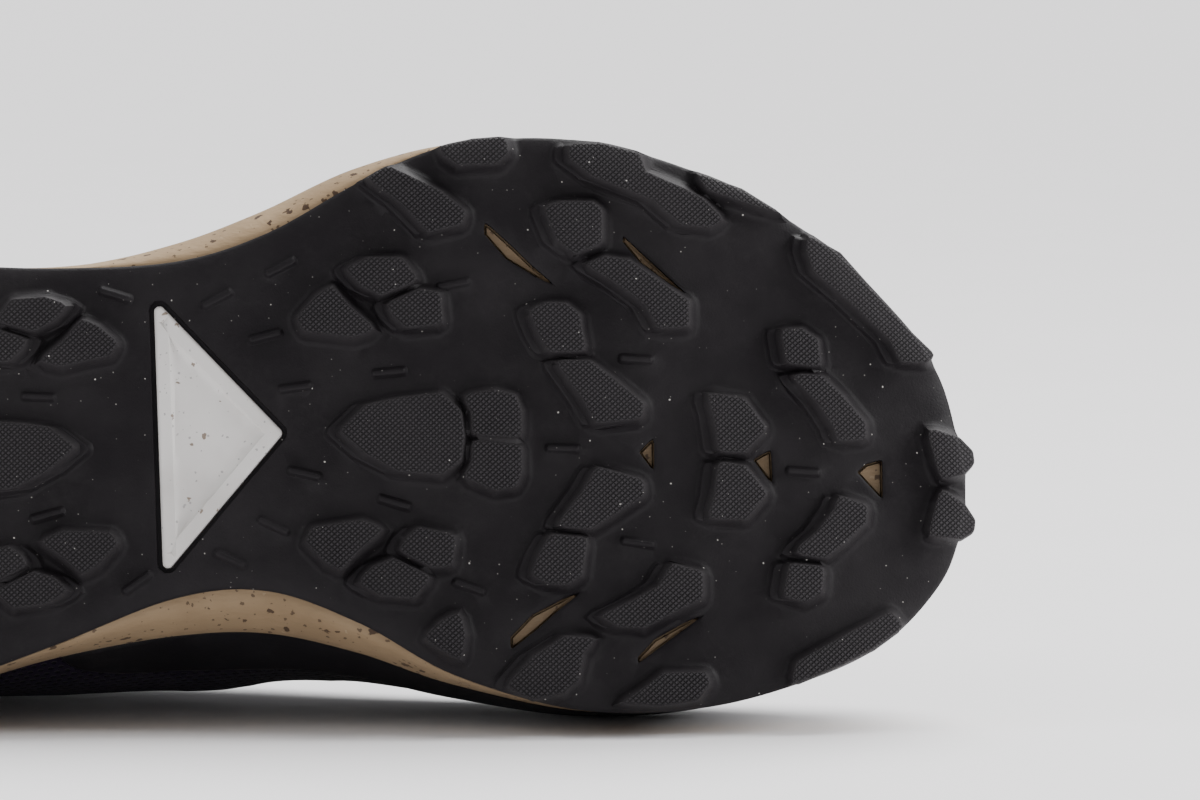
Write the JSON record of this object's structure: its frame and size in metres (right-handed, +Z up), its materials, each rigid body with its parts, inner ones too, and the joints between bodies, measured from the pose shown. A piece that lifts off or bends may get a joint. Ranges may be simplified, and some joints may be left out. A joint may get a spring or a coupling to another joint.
{
  "type": "trail running shoe",
  "caption": "Low trail running shoe for the right foot, lying on its side: lugged rubber tread, speckled foam midsole, padded collar, laced throat and toe cap.",
  "frame": {"origin": "centre of the bounding box's bottom face, on the floor that the shoe lies on", "axes": "+X from heel to toe, -Y out of the tread towards the viewer, +Z up, from the medial side that the shoe lies on to the lateral side"},
  "size_m": [0.3022, 0.1266, 0.1158],
  "materials": {
    "rubber": "matt moulded rubber with a fine knurl on the lugs",
    "plate": "off-white with fine grey and brown specks",
    "foam": "tan foam with irregular dark brown specks",
    "lining": "matt cloth",
    "mesh_cloth": "near-black knitted mesh with a deep purple zone",
    "film": "near-black welded film",
    "lace": "flat woven cord"
  },
  "bodies": {
    "root": {"outsole": "rubber", "waist_plate": "plate", "midsole": "foam", "insole": "lining", "upper": "mesh_cloth", "tongue": "mesh_cloth", "toe_cap": "film", "heel_counter": "film", "eyestay": "film", "laces": "lace"}
  },
  "joints": []
}
